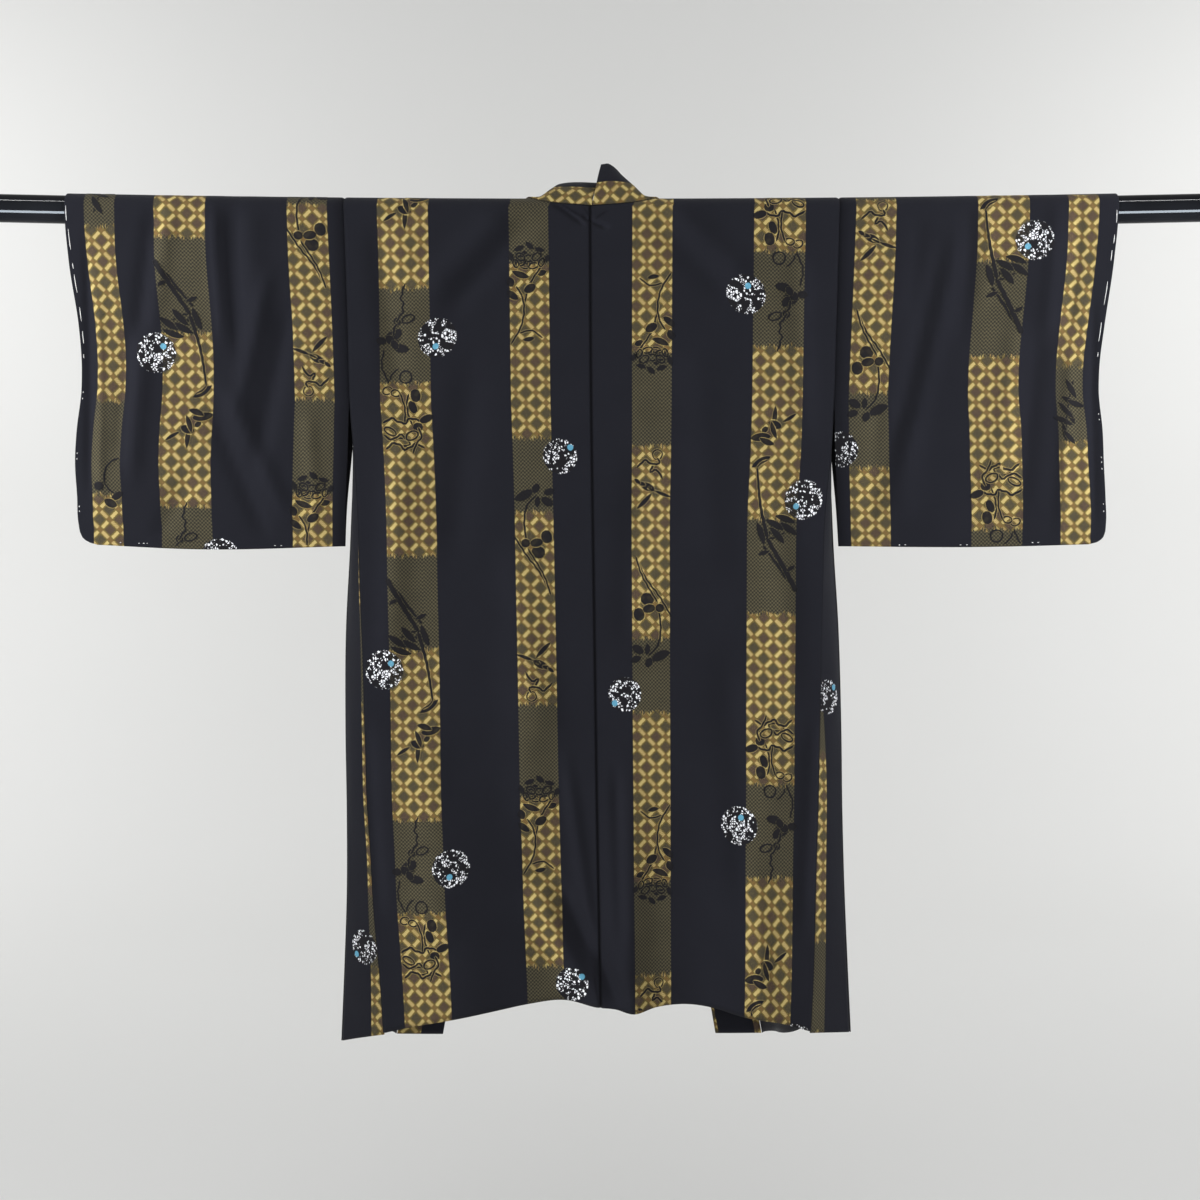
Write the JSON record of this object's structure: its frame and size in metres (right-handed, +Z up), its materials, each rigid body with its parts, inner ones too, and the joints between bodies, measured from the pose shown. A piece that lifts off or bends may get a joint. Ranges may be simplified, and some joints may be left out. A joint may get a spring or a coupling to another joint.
{
  "type": "haori jacket on a hanging rod",
  "caption": "Open-fronted haori jacket of black striped crepe, hung by its sleeves on a round lacquered rod, with a folded collar band, side gussets and cord loops.",
  "frame": {"origin": "middle of the rod's axis, between the jacket's shoulders", "axes": "+X along the rod towards the side drawn as right, +Y out of the jacket's open fronts, +Z up"},
  "size_m": [1.58, 0.1022, 1.1166],
  "materials": {
    "crepe": "matte silk crepe, black with woven bands of pale gold lattice and olive brown",
    "collar_crepe": "the same crepe, folded double over an interlining",
    "black_lacquer": "gloss black lacquer",
    "loop_cord": "matte cord of rolled crepe"
  },
  "bodies": {
    "root": {"body_left": "crepe", "body_right": "crepe", "sleeve_left": "crepe", "sleeve_right": "crepe", "gusset_left": "crepe", "gusset_right": "crepe", "collar_left": "collar_crepe", "collar_right": "collar_crepe", "loop_left": "loop_cord", "loop_right": "loop_cord", "rod": "black_lacquer"}
  },
  "joints": []
}
